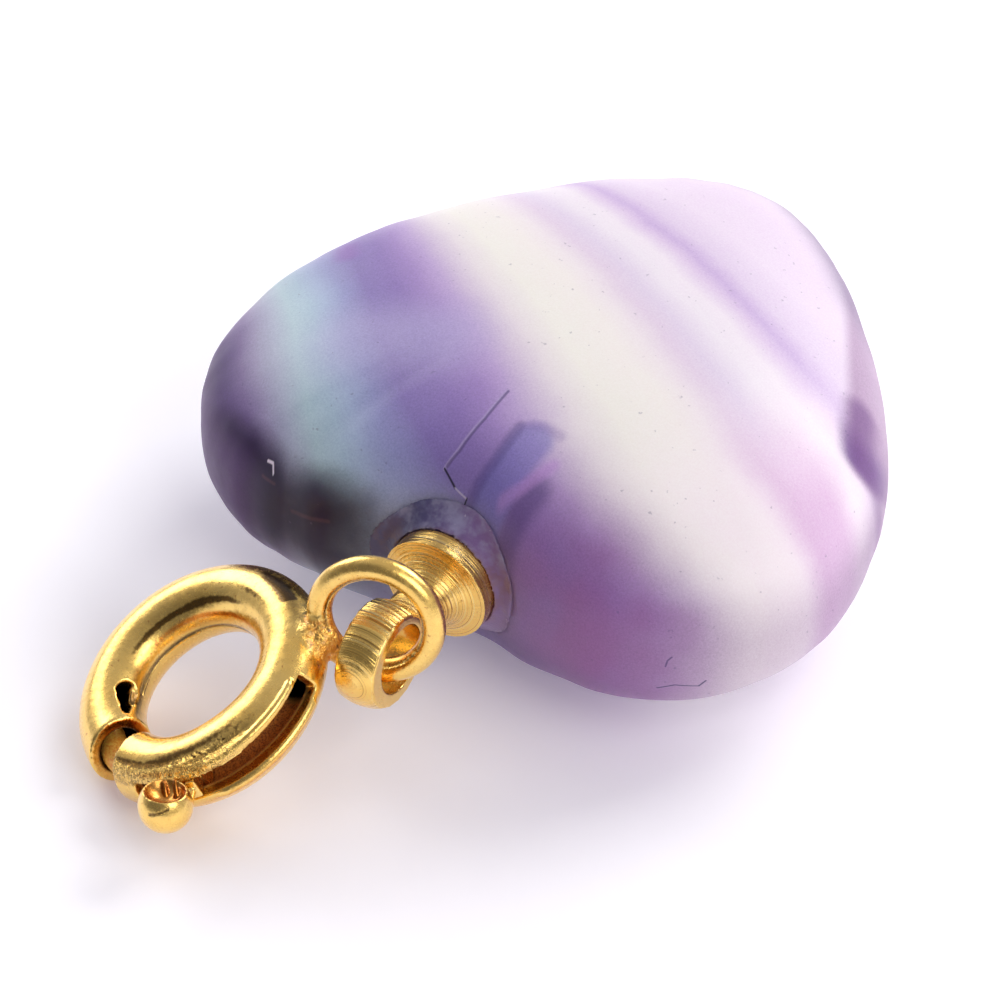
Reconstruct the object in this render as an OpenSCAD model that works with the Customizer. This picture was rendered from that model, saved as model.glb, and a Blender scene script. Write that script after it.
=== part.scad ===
// A puffed stone heart on a turned peg bail, which hangs from a spring ring clasp by its tail ring.
// Millimetres, +Z up. The pendant lies on its belly, and the origin is under the middle of its footprint.
// The stone's cleft and the bail look along -Y, its tip along +Y, and its lobes lie along X.

/* [Heart] */
// Width of the heart across its lobes
heart_w = 15; // [12:0.1:18]
// Height of the heart from its lobes to its tip
heart_h = 13.1; // [11:0.1:16]
// Thickness of the heart at its middle
heart_t = 6.6; // [5.5:0.1:8]
// How much the lobes are fuller than the tip, as a share of the width
lobe_fullness = 0.195; // [0.1:0.01:0.35]
// How far the widest place is moved from the middle towards the lobes
shoulder_shift = 0.95; // [0.4:0.05:1.2]
// Depth of the cleft between the lobes
cleft_depth = 1.5; // [1:0.05:1.7]
// Half angle of the cleft, seen from the middle
cleft_spread = 18; // [16:1:21]
// Fullness of the rim seen from the side, where 2 is an ellipse
rim_fullness = 2.5; // [2:0.05:2.8]
// How far the cleft end of the heart is tipped down as it lies
heart_pitch = 2.4; // [1.5:0.1:3.5]

/* [Drilled hole] */
// Diameter of the hole drilled into the cleft
hole_d = 1.3; // [1.2:0.05:1.5]
// Distance of the bottom of the hole from the middle of the heart
hole_floor = 2.3; // [1.5:0.1:3.5]

/* [Glue] */
// Radius of the bead of glue round the collar
glue_r = 1.8; // [1.7:0.05:2]
// Distance of the middle of the glue bead from the middle of the heart
glue_at = 5.6; // [5.5:0.05:5.7]
// Distance of the flat back of the glue from the middle of the heart
glue_back = 5.4; // [5.2:0.05:5.45]

/* [Bail] */
// Distance of the collar's back face from the middle of the heart
collar_at = 5.96; // [5.9:0.02:6.02]
// Diameter of the collar
collar_d = 2.46; // [2.3:0.02:2.7]
// Thickness of the collar's rim
collar_rim = 0.52; // [0.44:0.02:0.56]
// Diameter of the peg behind the collar
peg_d = 1; // [0.8:0.05:1.1]
// Length of the peg behind the collar
peg_l = 1.7; // [1.2:0.1:2.5]
// Diameter of the waist between the collar and the eye
waist_d = 1.15; // [1:0.05:1.4]
// Distance of the middle of the eye from the middle of the heart
eye_at = 8.76; // [8.6:0.01:8.9]
// Diameter of the ball from which the eye is cut
eye_d = 2.32; // [2.2:0.02:2.5]
// Width across the eye's two flats
eye_w = 0.82; // [0.7:0.02:1]
// Diameter of the hole through the eye
eye_hole_d = 1.56; // [1.5:0.02:1.6]
// How far the hole lies off the middle of the eye, towards the waist
eye_hole_shift = 0.1; // [0:0.02:0.14]

/* [Clasp ring] */
// Radius of the clasp from its centre to the middle of its tube
ring_r = 2.2; // [2.18:0.01:2.3]
// Radius of the clasp's tube
tube_r = 0.72; // [0.69:0.01:0.74]
// Radius of the bore in which the bolt slides
bore_r = 0.46; // [0.44:0.01:0.47]
// Tilt of the clasp, whose tail end is propped up by the eye
ring_tilt = 30.3; // [29:0.1:32]
// Direction in which the clasp rises, counter-clockwise from +X
ring_heading = 49.3; // [48:0.1:51]
// Where the tube ends on the side that receives the bolt, in degrees round the clasp
mouth_from = 179.5; // [177:0.1:180]
// Where the tube ends on the side that holds the bolt, in degrees round the clasp
mouth_to = 201.5; // [199:0.1:203]
// Near end of the slot for the trigger, in degrees round the clasp
slot_from = 220; // [218:1:222]
// Far end of the slot, in degrees round the clasp
slot_to = 318; // [305:1:324]
// Width of the slot
slot_w = 0.5; // [0.48:0.02:0.54]
// How far the middle of the slot lies above the middle of the tube
slot_lift = 0.195; // [0.185:0.01:0.205]
// How far the lips of the slot stand out of the tube
lip_rise = 0.03; // [0.01:0.01:0.06]
// Place of the drop-shaped opening in the tube's wall, in degrees round the clasp
seam_hole_at = 151; // [147:1:154]
// Place of the drop-shaped opening round the tube, where 90 is up and 180 looks at the clasp's centre
seam_hole_up = 142; // [135:1:150]

/* [Tail ring] */
// Radius of the tail ring from its centre to the middle of its wire
tail_r = 1.24; // [1.2:0.01:1.3]
// Radius of the tail ring's wire
tail_wire_r = 0.27; // [0.24:0.01:0.28]
// Distance of the tail ring's centre from the clasp's centre
tail_reach = 4.19; // [4.14:0.01:4.22]
// Place of the tail ring, in degrees round the clasp
tail_at = 341.7; // [340:0.1:343]
// Lean of the tail ring from the plane of the clasp
tail_lean = 66.6; // [65:0.1:68]
// Turn of the tail ring away from the clasp's radius
tail_turn = -7.3; // [-9:0.1:-5]

// Place of the tail ring's centre across the heart, from the middle of the heart
tail_x = -0.07; // [-0.12:0.01:0]
// Distance of the tail ring's centre in front of the middle of the heart
tail_ahead = 8.66; // [8.62:0.01:8.7]
// Radius of the dab of solder between the two rings
solder_r = 0.4; // [0.35:0.01:0.45]

/* [Bolt] */
// Radius of the bolt
bolt_r = 0.4; // [0.38:0.01:0.42]
// Place of the bolt's tip, just inside the receiving end, in degrees round the clasp
bolt_tip = 177; // [175:0.5:178]
// Place of the bolt's back end, in degrees round the clasp
bolt_end = 251.5; // [251:0.5:254]
// Place of the shoulder that keys the bolt in the slot, in degrees round the clasp
shoulder_at = 247; // [246:0.5:248]
// Place of the trigger, in degrees round the clasp
trigger_at = 240; // [238:0.5:242]
// How far the trigger's bead is raised round the tube, where 0 looks outwards
trigger_up = 25; // [22:0.5:27]
// Diameter of the trigger's bead
trigger_d = 1.08; // [1:0.02:1.16]
// Diameter of the trigger's stem
stem_d = 0.4; // [0.36:0.02:0.42]

/* [Footprint] */
// Place of the middle of the heart along X, from the middle of the footprint
heart_x = 0; // [-1:0.01:1]
// Place of the middle of the heart along Y, from the middle of the footprint
heart_y = 3.82; // [3:0.01:4]

/* [Hidden] */
$fn = 64;

// Steps round the heart's outline, and from the middle of one face over the rim to the other
outline_steps = 80;
puff_steps = 36;
// How far the glue climbs over the collar's rim
glue_over = 0.12;
// Clear gaps: glue to stone and bail, bead to tube, shoulder to slot
seat_gap = 0.02;
trigger_gap = 0.05;
shoulder_gap = 0.05;
// How far the shoulder reaches round the clasp, in degrees, and how deep it stays under the tube's skin
shoulder_sweep = 3.5;
shoulder_sunk = 0.03;
// Radius of the slot's lips, and the drop-shaped opening: radius, length and width of its point
lip_r = 0.09;
drop_r = 0.27;
drop_l = 0.52;
drop_point = 0.1;

// Signed angle from the cleft, -180 to 180
function off_cleft(turn) = turn > 180 ? turn - 360 : turn;
// A point of the heart before it is brought to size, at a share of the way out to the rim
function raw_point(turn, share) = [
    share * sin(turn) * (1 + lobe_fullness * share * cos(turn)),
    -share * cos(turn) * heart_h / 2
        + pow(share, 3) * cleft_depth * exp(-pow(off_cleft(turn) / cleft_spread, 2))
        - pow(share, 2) * shoulder_shift * pow(sin(turn), 2)
];
raw_rim = [for (i = [0 : outline_steps - 1]) raw_point(i * 360 / outline_steps, 1)];
raw_x = [for (p = raw_rim) p.x];
raw_y = [for (p = raw_rim) p.y];
to_width = heart_w / (max(raw_x) - min(raw_x));
to_height = heart_h / (max(raw_y) - min(raw_y));
raw_middle = (max(raw_y) + min(raw_y)) / 2;
function heart_point(turn, share, level) = let (p = raw_point(turn, share))
    [p.x * to_width, (p.y - raw_middle) * to_height, level];

// The heart's skin runs in rings from its upper pole over the rim to its lower pole
function puff_share(i) = pow(sin(i * 180 / puff_steps), 2 / rim_fullness);
function puff_level(i) = let (c = cos(i * 180 / puff_steps))
    sign(c) * pow(abs(c), 2 / rim_fullness) * heart_t / 2;
heart_skin = concat(
    [heart_point(0, 0, heart_t / 2)],
    [for (i = [1 : puff_steps - 1], j = [0 : outline_steps - 1])
        heart_point(j * 360 / outline_steps, puff_share(i), puff_level(i))],
    [heart_point(0, 0, -heart_t / 2)]);
function skin_at(i, j) = 1 + i * outline_steps + j % outline_steps;
last_ring = puff_steps - 2;
heart_faces = concat(
    [for (j = [0 : outline_steps - 1]) [0, skin_at(0, j + 1), skin_at(0, j)]],
    [for (i = [0 : last_ring - 1], j = [0 : outline_steps - 1])
        [skin_at(i, j), skin_at(i + 1, j + 1), skin_at(i + 1, j)]],
    [for (i = [0 : last_ring - 1], j = [0 : outline_steps - 1])
        [skin_at(i, j), skin_at(i, j + 1), skin_at(i + 1, j + 1)]],
    [for (j = [0 : outline_steps - 1])
        [skin_at(last_ring, j), skin_at(last_ring, j + 1), skin_at(last_ring + 1, 0)]]);

// Height of the heart's middle above the surface on which its belly rests
heart_rise = -min([for (p = heart_skin) p.y * sin(heart_pitch) + p.z * cos(heart_pitch)]);
// Height of the clasp's centre when the tube's receiving end rests on the surface
end_fall = cos(180 - mouth_from) * sin(ring_tilt);
ring_rise = ring_r * end_fall + tube_r * sqrt(pow(end_fall, 2) + pow(cos(ring_tilt), 2));

// The bail's rim, its sweep and the foot of its eye, the trigger's bead, and the lips of the slot
rim_front = collar_at + collar_rim;
sweep_r = (collar_d - waist_d) / 2;
eye_foot = eye_at - (eye_d + eye_hole_d) / 4;
bead_off = tube_r + trigger_gap + trigger_d / 2;
stem_l = bead_off * cos(trigger_up) - stem_d / 4;
lip_off = slot_w / 2 + lip_r;
shoulder_w = slot_w - 2 * shoulder_gap;

// How far out a lip lies at its height, so that it stands out of the tube's round
function lip_at(level) = ring_r + sqrt(pow(tube_r, 2) - pow(level, 2)) + lip_rise - lip_r;

// The clasp's centre lies one reach from the tail ring's, which hangs in the eye
reach_x = cos(tail_at) * cos(ring_tilt) * cos(ring_heading) - sin(tail_at) * sin(ring_heading);
reach_y = cos(tail_at) * cos(ring_tilt) * sin(ring_heading) + sin(tail_at) * cos(ring_heading);
ring_x = heart_x + tail_x - tail_reach * reach_x;
ring_y = heart_y - tail_ahead - tail_reach * reach_y;

module at_heart() {
    translate([heart_x, heart_y, heart_rise]) rotate([heart_pitch, 0, 0]) children();
}

// The bail's axis points out of the cleft
module along_bail() {
    at_heart() rotate([90, 0, 0]) children();
}

module at_clasp() {
    translate([ring_x, ring_y, ring_rise])
        rotate([0, -ring_tilt, ring_heading]) children();
}

module torus(big, small, from = 0, sweep = 360) {
    rotate([0, 0, from]) rotate_extrude(angle = sweep) translate([big, 0]) circle(small);
}

// Ball of glue, cut flat at its back, and at its front where the collar's face shows
module glue_ball(grow = 0, front = glue_at + glue_r) {
    intersection() {
        translate([0, 0, glue_at]) sphere(glue_r + grow);
        translate([0, 0, glue_back - grow]) cylinder(h = front - glue_back + 2 * grow, r = 2 * glue_r);
    }
}

// Half outline of the turned bail, grown by a gap where the glue is cut back from it
module bail_outline(grow = 0) {
    translate([0, collar_at - peg_l - grow]) square([peg_d / 2 + grow, peg_l + 2 * grow]);
    translate([0, collar_at - grow]) square([collar_d / 2 + grow, collar_rim + 2 * grow]);
    difference() {
        translate([0, rim_front]) square([collar_d / 2, sweep_r]);
        translate([collar_d / 2, rim_front + sweep_r]) circle(sweep_r);
    }
    translate([0, rim_front]) square([waist_d / 2, eye_foot - rim_front]);
}

module heart_stone() {
    color("mediumpurple") difference() {
        at_heart() polyhedron(heart_skin, heart_faces);
        along_bail() translate([0, 0, hole_floor]) cylinder(h = heart_h / 2, d = hole_d);
        along_bail() glue_ball(seat_gap);
    }
}

module glue_bead() {
    color("thistle") along_bail() difference() {
        glue_ball(0, collar_at + glue_over);
        rotate_extrude() bail_outline(seat_gap);
    }
}

module peg_bail() {
    color("gold") along_bail() {
        rotate_extrude() bail_outline();
        difference() {
            intersection() {
                translate([0, 0, eye_at]) sphere(d = eye_d);
                translate([-eye_w / 2, -eye_d / 2, eye_at - eye_d / 2]) cube([eye_w, eye_d, eye_d]);
            }
            translate([0, 0, eye_at - eye_hole_shift]) rotate([0, 90, 0])
                cylinder(h = 2 * eye_w, d = eye_hole_d, center = true);
        }
    }
}

module slot_cut() {
    rotate([0, 0, slot_from]) rotate_extrude(angle = slot_to - slot_from)
        translate([ring_r, slot_lift - slot_w / 2]) square([2 * tube_r, slot_w]);
}

module slot_lips() {
    rotate([0, 0, slot_from]) rotate_extrude(angle = slot_to - slot_from)
        for (level = [slot_lift - lip_off, slot_lift + lip_off])
            translate([lip_at(level), level]) circle(lip_r);
}

module seam_hole() {
    rotate([0, 0, seam_hole_at]) translate([ring_r, 0, 0]) rotate([0, 90 - seam_hole_up, 0])
        translate([0, 0, tube_r / 2]) linear_extrude(tube_r) {
            circle(drop_r);
            polygon([[-drop_r, 0], [drop_r, 0], [drop_point / 2, drop_l], [-drop_point / 2, drop_l]]);
        }
}

module clasp_ring() {
    color("gold") at_clasp() {
        difference() {
            union() {
                torus(ring_r, tube_r, mouth_to, 360 + mouth_from - mouth_to);
                slot_lips();
                rotate([0, 0, tail_at]) translate([ring_r + tube_r, 0, 0]) sphere(solder_r);
                rotate([0, 0, tail_at]) translate([tail_reach, 0, 0]) rotate([tail_lean, 0, tail_turn])
                    torus(tail_r, tail_wire_r);
            }
            torus(ring_r, bore_r);
            slot_cut();
            seam_hole();
        }
    }
}

module clasp_bolt() {
    color("goldenrod") at_clasp() {
        torus(ring_r, bolt_r, bolt_tip, bolt_end - bolt_tip);
        rotate([0, 0, bolt_tip]) translate([ring_r, 0, 0]) sphere(bolt_r);
        rotate([0, 0, shoulder_at]) rotate_extrude(angle = shoulder_sweep) intersection() {
            translate([ring_r, slot_lift - shoulder_w / 2]) square([tube_r, shoulder_w]);
            translate([ring_r, 0]) circle(tube_r - shoulder_sunk);
        }
        rotate([0, 0, trigger_at]) translate([ring_r, 0, 0]) {
            translate([0, 0, slot_lift]) rotate([0, 90, 0]) cylinder(h = stem_l, d = stem_d);
            rotate([0, -trigger_up, 0]) translate([bead_off, 0, 0]) sphere(d = trigger_d);
        }
    }
}

heart_stone();
glue_bead();
peg_bail();
clasp_ring();
clasp_bolt();
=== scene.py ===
"""Looks of a puffed stone heart on a turned gilt bail, lying with its spring ring clasp.

Every piece is built in millimetres, in the frame of the heart, the bail, the clasp or the
tail ring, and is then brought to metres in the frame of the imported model.
"""

import logging
import math
from collections.abc import Sequence
from dataclasses import dataclass, field
from enum import Enum

import bmesh
import bpy
import numpy as np
from mathutils import Matrix, Vector, noise
from mathutils.bvhtree import BVHTree


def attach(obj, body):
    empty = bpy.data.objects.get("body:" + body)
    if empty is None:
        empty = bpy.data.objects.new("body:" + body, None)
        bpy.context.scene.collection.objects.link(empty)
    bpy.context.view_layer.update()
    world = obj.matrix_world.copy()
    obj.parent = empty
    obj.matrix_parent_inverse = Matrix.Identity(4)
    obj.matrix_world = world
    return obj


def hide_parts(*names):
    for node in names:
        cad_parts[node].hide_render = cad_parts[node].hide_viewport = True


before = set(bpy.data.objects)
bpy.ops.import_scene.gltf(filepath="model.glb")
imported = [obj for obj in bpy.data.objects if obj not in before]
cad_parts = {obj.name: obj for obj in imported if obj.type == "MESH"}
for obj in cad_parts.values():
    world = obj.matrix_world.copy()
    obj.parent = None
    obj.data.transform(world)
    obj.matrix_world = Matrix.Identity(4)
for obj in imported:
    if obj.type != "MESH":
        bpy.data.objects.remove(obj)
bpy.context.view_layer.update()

LOG = logging.getLogger("pendant")
MM = 0.001
Triple = tuple[float, float, float]


class Body(Enum):
    """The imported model's bodies."""

    PENDANT = "pendant"
    BOLT = "bolt"


class Slot(Enum):
    """The record's material slots."""

    STONE = "stone"
    GLUE = "glue"
    GILT = "gilt"


# ---------------------------------------------------------------- places


def turn(axis: str, degrees: float) -> Matrix:
    """Returns a turn about X, Y or Z."""
    return Matrix.Rotation(math.radians(degrees), 4, axis)


def shift(x: float = 0, y: float = 0, z: float = 0) -> Matrix:
    """Returns a move, in millimetres."""
    return Matrix.Translation((x, y, z))


@dataclass(frozen=True)
class Lie:
    """How the pendant lies: the places of its four frames, in millimetres and degrees."""

    heart_at: Triple = (0.0, 3.82, 3.34281)
    heart_pitch: float = 2.4
    clasp_at: Triple = (-3.30716, -6.58602, 1.82991)
    clasp_tilt: float = 30.3
    clasp_heading: float = 49.3
    tail_at: float = 341.7
    tail_reach: float = 4.19
    tail_turn: float = -7.3
    tail_lean: float = 66.6

    def heart(self) -> Matrix:
        """Returns the heart's frame: +Z its upper face, -Y its cleft."""
        return shift(*self.heart_at) @ turn("X", self.heart_pitch)

    def bail(self) -> Matrix:
        """Returns the bail's frame, whose +Z points out of the cleft."""
        return self.heart() @ turn("X", 90)

    def clasp(self) -> Matrix:
        """Returns the clasp's frame, whose +Z is the axis of the ring."""
        tilt = turn("Z", self.clasp_heading) @ turn("Y", -self.clasp_tilt)
        return shift(*self.clasp_at) @ tilt

    def tail(self) -> Matrix:
        """Returns the tail ring's frame in the clasp's frame."""
        out = turn("Z", self.tail_at) @ shift(self.tail_reach)
        return out @ turn("Z", self.tail_turn) @ turn("X", self.tail_lean)


# ---------------------------------------------------------------- mesh tools


def smoothstep(value: float, low: float, high: float) -> float:
    """Returns 0 below low, 1 above high, and a smooth step between."""
    t = min(1.0, max(0.0, (value - low) / (high - low)))
    return t * t * (3 - 2 * t)


def outward(spot: Vector) -> tuple[float, Vector]:
    """Returns a place's angle about Z, from 0 to 360, and the level direction towards it."""
    around = math.degrees(math.atan2(spot.y, spot.x)) % 360
    return around, Vector((spot.x, spot.y, 0)).normalized()


def bump_at(angle: float, middle: float, spread: float) -> float:
    """Returns a smooth hump, 1 at the middle angle, in degrees round a ring."""
    off = (angle - middle + 180) % 360 - 180
    return math.exp(-((off / spread) ** 2))


class Bench:
    """Where pieces are made: bmeshes in millimetres become finished objects in metres."""

    @staticmethod
    def spun(bm: bmesh.types.BMesh, sweep: float, steps: int) -> bmesh.types.BMesh:
        """Spins all that a bmesh holds about Z, and closes what it makes.

        Args:
            bm: A flat outline, or a line whose ends lie on the axis.
            sweep: Angle that it passes, in degrees; 360 closes the ring.
            steps: Steps along the way.

        Returns:
            The same bmesh, closed, with its faces pointing outwards.
        """
        full = abs(sweep) >= 360
        bmesh.ops.spin(bm, geom=bm.verts[:] + bm.edges[:] + bm.faces[:], cent=(0, 0, 0),
                       axis=(0, 0, 1), angle=math.radians(sweep), steps=steps, use_merge=full)
        if full:
            bmesh.ops.remove_doubles(bm, verts=bm.verts, dist=1e-5)
        else:
            bmesh.ops.holes_fill(bm, edges=[e for e in bm.edges if e.is_boundary], sides=0)
        bmesh.ops.recalc_face_normals(bm, faces=bm.faces)
        return bm

    @classmethod
    def rod(cls, big: float, small: float, start: float, sweep: float, steps: int = 96,
            sides: int = 32, lift: float = 0.0) -> bmesh.types.BMesh:
        """Spins a round section about Z into a closed ring or a capped arc.

        Args:
            big: Radius of the arc.
            small: Radius of the section.
            start: Angle where the arc starts, in degrees.
            sweep: Angle of the arc; 360 closes the ring.
            steps: Steps along the arc.
            sides: Sides of the section.
            lift: Height of the section's middle above the arc's plane.

        Returns:
            A closed bmesh whose faces point outwards.
        """
        bm = bmesh.new()
        place = turn("Z", start) @ shift(big, 0, lift) @ turn("X", 90)
        bmesh.ops.create_circle(bm, segments=sides, radius=small, matrix=place)
        return cls.spun(bm, sweep, steps)

    @classmethod
    def sector(cls, corners: Sequence[tuple[float, float]], start: float,
               sweep: float, steps: int = 60) -> bmesh.types.BMesh:
        """Spins a flat outline of (radius, height) about Z through part of a turn."""
        bm = bmesh.new()
        bm.faces.new([bm.verts.new((r, 0, z)) for r, z in corners])
        bmesh.ops.rotate(bm, verts=bm.verts, matrix=turn("Z", start).to_3x3())
        return cls.spun(bm, sweep, steps)

    @staticmethod
    def peg(radius: float, length: float, place: Matrix, tip: float | None = None,
            sides: int = 64) -> bmesh.types.BMesh:
        """Makes a round peg about a place's Z axis, which may taper to another radius."""
        bm = bmesh.new()
        bmesh.ops.create_cone(bm, cap_ends=True, segments=sides, radius1=radius,
                              radius2=radius if tip is None else tip, depth=length, matrix=place)
        return bm

    @classmethod
    def lathe(cls, profile: Sequence[tuple[float, float]], steps: int) -> bmesh.types.BMesh:
        """Spins a profile of (radius, height), from axis to axis, as on a lathe."""
        bm = bmesh.new()
        verts = [bm.verts.new((r, 0, z)) for r, z in profile]
        for pair in zip(verts, verts[1:]):
            bm.edges.new(pair)
        return cls.spun(bm, 360, steps)

    @staticmethod
    def ball(radius: float, place: Matrix, scale: Triple = (1, 1, 1),
             rounds: int = 4) -> bmesh.types.BMesh:
        """Makes a ball or an egg at a place."""
        bm = bmesh.new()
        bmesh.ops.create_icosphere(bm, subdivisions=rounds, radius=radius,
                                   matrix=place @ Matrix.Diagonal((*scale, 1)))
        return bm

    @staticmethod
    def block(size: Triple, place: Matrix) -> bmesh.types.BMesh:
        """Makes a block of a size at a place."""
        bm = bmesh.new()
        bmesh.ops.create_cube(bm, size=1, matrix=place @ Matrix.Diagonal((*size, 1)))
        return bm

    @staticmethod
    def joined(parts: Sequence[bmesh.types.BMesh]) -> bmesh.types.BMesh:
        """Puts several closed shells into one bmesh and frees the others."""
        whole = bmesh.new()
        for part in parts:
            mesh = bpy.data.meshes.new("part")
            part.to_mesh(mesh)
            part.free()
            whole.from_mesh(mesh)
            bpy.data.meshes.remove(mesh)
        return whole

    @staticmethod
    def blank(bm: bmesh.types.BMesh, name: str) -> bpy.types.Object:
        """Puts a bmesh into a linked object, still in millimetres, and frees it."""
        mesh = bpy.data.meshes.new(name)
        bm.to_mesh(mesh)
        bm.free()
        obj = bpy.data.objects.new(name, mesh)
        bpy.context.scene.collection.objects.link(obj)
        return obj

    @staticmethod
    def baked(obj: bpy.types.Object) -> bmesh.types.BMesh:
        """Applies an object's modifiers, removes the object and returns its bmesh."""
        bpy.context.view_layer.update()
        depsgraph = bpy.context.evaluated_depsgraph_get()
        bm = bmesh.new()
        bm.from_mesh(obj.evaluated_get(depsgraph).to_mesh())
        bpy.data.objects.remove(obj)
        return bm

    @classmethod
    def cut(cls, base: bmesh.types.BMesh,
            cutters: Sequence[bmesh.types.BMesh]) -> bmesh.types.BMesh:
        """Cuts closed shells out of a closed shell, one after another."""
        body = cls.blank(base, "work_body")
        tools = [cls.blank(c, "work_cutter") for c in cutters]
        for tool in tools:
            modifier = body.modifiers.new("cut", "BOOLEAN")
            modifier.operation, modifier.solver, modifier.object = "DIFFERENCE", "EXACT", tool
        result = cls.baked(body)
        for tool in tools:
            bpy.data.objects.remove(tool)
        return result

    @classmethod
    def fused(cls, bm: bmesh.types.BMesh, voxel: float, rounds: int = 2) -> bmesh.types.BMesh:
        """Melts overlapping closed shells into one skin and softens its edges.

        Args:
            bm: The shells.
            voxel: Size of the remesh's cells, in millimetres.
            rounds: Rounds of smoothing.

        Returns:
            One even skin.
        """
        body = cls.blank(bm, "work_melt")
        melt = body.modifiers.new("melt", "REMESH")
        melt.mode, melt.voxel_size = "VOXEL", voxel
        melted = cls.baked(body)
        for _ in range(rounds):
            bmesh.ops.smooth_vert(melted, verts=melted.verts, factor=0.5,
                                  use_axis_x=True, use_axis_y=True, use_axis_z=True)
        return melted

    @staticmethod
    def places(bm: bmesh.types.BMesh) -> np.ndarray:
        """Returns the places of a bmesh's points, one row for each."""
        return np.array([vert.co[:] for vert in bm.verts])

    @classmethod
    def finish(cls, bm: bmesh.types.BMesh, name: str, place: Matrix, body: Body,
               slot: Slot, replaces: str, material: bpy.types.Material,
               marks: dict[str, np.ndarray] | None = None,
               crease: float = 0.0) -> bpy.types.Object:
        """Brings a piece to its place in metres, dresses it and hangs it on its body.

        Args:
            bm: The piece in millimetres in its own frame.
            name: Name of the piece.
            place: The frame that it was built in.
            body: The body that it rides on.
            slot: The record's slot of its finish; not used.
            replaces: The CAD node that it stands for.
            material: Its material.
            marks: Values for each point, by name, that the material reads.
            crease: Depth of a full crease, in metres per edge; 0 looks for none.

        Returns:
            The finished object, at the origin.
        """
        bm.transform(Matrix.Scale(MM, 4) @ place)
        for face in bm.faces:
            face.smooth = True
        obj = cls.blank(bm, name)
        obj.data.materials.append(material)
        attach(obj, body.value)
        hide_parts(replaces)
        if crease:
            marks = {"crease": hollows(obj.data, crease), **(marks or {})}
        for mark, values in (marks or {}).items():
            attribute = obj.data.attributes.new(mark, "FLOAT", "POINT")
            attribute.data.foreach_set("value", np.asarray(values, np.float32))
        LOG.info("%s: %d faces", name, len(obj.data.polygons))
        return obj


def hollows(mesh: bpy.types.Mesh, reach: float, rounds: int = 6) -> np.ndarray:
    """Measures how deep each point lies in a crease of its mesh.

    Args:
        mesh: A finished mesh.
        reach: The depth, in metres per edge, that counts as a full crease.
        rounds: Rounds of blurring from point to point.

    Returns:
        A value from 0 to 1 for each point: 0.5 is flat, 1 a crease, 0 a ridge.
    """
    count = len(mesh.vertices)
    points, normals = (np.empty(count * 3, np.float32) for _ in range(2))
    mesh.vertices.foreach_get("co", points)
    mesh.vertices.foreach_get("normal", normals)
    points, normals = points.reshape(-1, 3), normals.reshape(-1, 3)
    pairs = np.empty(len(mesh.edges) * 2, np.int32)
    mesh.edges.foreach_get("vertices", pairs)
    a, b = pairs.reshape(-1, 2).T
    number = np.bincount(np.concatenate([a, b]), minlength=count).clip(1)

    def gathered(at_a: np.ndarray, at_b: np.ndarray) -> np.ndarray:
        """Returns the mean over each point's edges."""
        total = np.bincount(a, at_a, count) + np.bincount(b, at_b, count)
        return total / number

    step = points[b] - points[a]
    depth = gathered((step * normals[a]).sum(1), (-step * normals[b]).sum(1))
    for _ in range(rounds):
        depth = 0.5 * depth + 0.5 * gathered(depth[b], depth[a])
    return np.clip(0.5 + 0.5 * depth / reach, 0, 1).astype(np.float32)


# ---------------------------------------------------------------- shader tools


def linear(red: float, green: float, blue: float) -> tuple[float, float, float, float]:
    """Turns a colour as seen, 0 to 255, into the shader's linear colour."""
    seen = (c / 255 for c in (red, green, blue))
    light = (c / 12.92 if c < 0.04045 else ((c + 0.055) / 1.055) ** 2.4 for c in seen)
    return (*light, 1.0)


@dataclass(frozen=True)
class Sock:
    """An output of a shader graph, on which Python's operators add Math nodes."""

    graph: "Graph"
    out: bpy.types.NodeSocket

    def maths(self, operation: str, *others: "Sock | float", first: bool = True) -> "Sock":
        """Adds a Math node with this socket as its first value, or as its last."""
        values = [self, *others] if first else [*others, self]
        node = self.graph.add("ShaderNodeMath", {"operation": operation}, dict(enumerate(values)))
        return self.graph.sock(node)

    def __add__(self, other: "Sock | float") -> "Sock":
        """Returns the sum."""
        return self.maths("ADD", other)

    __radd__ = __add__

    def __mul__(self, other: "Sock | float") -> "Sock":
        """Returns the product."""
        return self.maths("MULTIPLY", other)

    __rmul__ = __mul__

    def __sub__(self, other: "Sock | float") -> "Sock":
        """Returns the difference."""
        return self.maths("SUBTRACT", other)

    def __rsub__(self, other: "Sock | float") -> "Sock":
        """Returns the difference from a number."""
        return self.maths("SUBTRACT", other, first=False)

    def step(self, low: float, high: float) -> "Sock":
        """Returns a smooth step from 0 at low to 1 at high; high may be the smaller."""
        node = self.graph.add("ShaderNodeMapRange", {"interpolation_type": "SMOOTHSTEP"},
                              {"Value": self, "From Min": low, "From Max": high})
        return self.graph.sock(node)


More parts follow.
